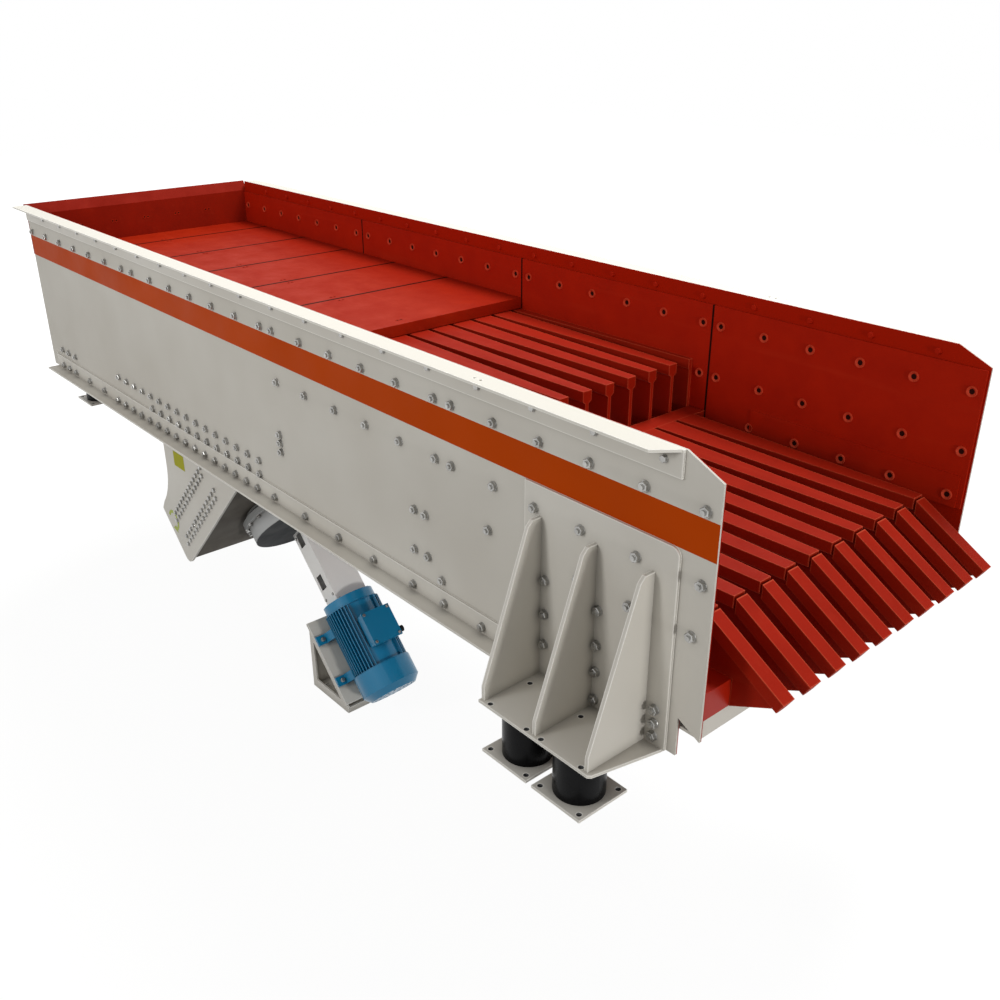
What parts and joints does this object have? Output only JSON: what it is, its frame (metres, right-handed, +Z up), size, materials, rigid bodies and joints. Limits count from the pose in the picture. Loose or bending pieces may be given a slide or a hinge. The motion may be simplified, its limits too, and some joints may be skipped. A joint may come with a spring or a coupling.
{
  "type": "linear vibratory feeder",
  "caption": "Sprung steel trough with a flat feed pan and two stepped decks of tapered bars, shaken at 45 degrees by a geared two-shaft exciter and a cardan-driven motor.",
  "frame": {"origin": "centre of the four outer holes of the front spring feet, on their underside", "axes": "+X the way the material flows, +Y to the left of the flow, +Z up"},
  "size_m": [6.374, 2.348, 2.766],
  "materials": {
    "frame_paint": "satin enamel, warm light grey",
    "wear_red": "red oxide paint on wear plate",
    "liner_red": "matt red oxide primer",
    "exciter_grey": "dark grey enamel on cast iron",
    "machined_steel": "turned and ground",
    "forged_steel": "dark forged",
    "spring_rubber": "matt black",
    "motor_blue": "semi-gloss enamel",
    "stator_iron": "varnished laminations and windings",
    "fan_plastic": "moulded",
    "gland_plastic": "moulded"
  },
  "bodies": {
    "base": {"front_feet": "frame_paint", "rear_feet": "frame_paint", "front_springs": "spring_rubber", "rear_springs": "spring_rubber", "motor_stand": "frame_paint", "guard_cover": "frame_paint", "guard_tray": "frame_paint", "guard_bracket": "frame_paint", "motor_frame": "motor_blue", "motor_end_shields": "motor_blue", "fan_cover": "motor_blue", "stator_core": "stator_iron", "motor_bearings": "machined_steel", "terminal_box": "motor_blue", "cable_gland": "gland_plastic"},
    "trough": {"side_plate_left": "frame_paint", "side_plate_right": "frame_paint", "liners_left": "liner_red", "liners_right": "liner_red", "pan_plate": "frame_paint", "wear_plates": "wear_red", "pan_lip": "wear_red", "rear_plate": "wear_red", "step_plate": "wear_red", "upper_bars": "wear_red", "lower_bars": "wear_red", "front_beam": "frame_paint", "step_beam": "wear_red", "lip_beam": "wear_red", "pan_beams": "frame_paint", "top_angle_left": "frame_paint", "top_angle_right": "frame_paint", "bottom_angle_left": "frame_paint", "bottom_angle_right": "frame_paint", "front_bracket_left": "frame_paint", "front_bracket_right": "frame_paint", "rear_bracket_left": "frame_paint", "rear_bracket_right": "frame_paint", "bridge_beam": "frame_paint", "bridge_plate_left": "frame_paint", "bridge_plate_right": "frame_paint", "exciter_housing": "exciter_grey", "exciter_cover_front": "exciter_grey", "exciter_cover_rear": "exciter_grey", "exciter_bearings": "machined_steel"},
    "drive_rotor": {"drive_shaft": "machined_steel", "drive_gear": "machined_steel", "drive_weights": "forged_steel", "exciter_yoke": "forged_steel"},
    "idler_rotor": {"idler_shaft": "machined_steel", "idler_gear": "machined_steel", "idler_weights": "forged_steel"},
    "motor_rotor_set": {"motor_rotor": "machined_steel", "motor_fan": "fan_plastic", "motor_hub": "forged_steel", "motor_yoke": "forged_steel", "cardan_shaft": "forged_steel", "cardan_crosses": "machined_steel"}
  },
  "joints": [
    {"name": "trough_stroke", "type": "slide", "parent": "base", "child": "trough", "axis": [0.7071, 0, 0.7071], "range_m": [-0.005, 0.005], "stiffness_N_per_m": 3200000, "springref_m": 0.0195, "deforming": ["front_springs", "rear_springs"]},
    {"name": "exciter_spin", "type": "hinge", "parent": "trough", "child": "drive_rotor", "pos_m": [-3.207, -0.257, -0.23], "axis": [0.7071, 0, -0.7071], "continuous": true},
    {"name": "idler_spin", "type": "hinge", "parent": "trough", "child": "idler_rotor", "pos_m": [-3.207, 0.257, -0.23], "axis": [0.7071, 0, -0.7071], "continuous": true},
    {"name": "motor_spin", "type": "hinge", "parent": "base", "child": "motor_rotor_set", "pos_m": [-3.207, -0.257, -0.23], "axis": [0.7071, 0, -0.7071], "continuous": true}
  ],
  "couplings": [
    {"joint": "idler_spin", "follows": "exciter_spin", "ratio": -1},
    {"joint": "motor_spin", "follows": "exciter_spin", "ratio": 1}
  ]
}
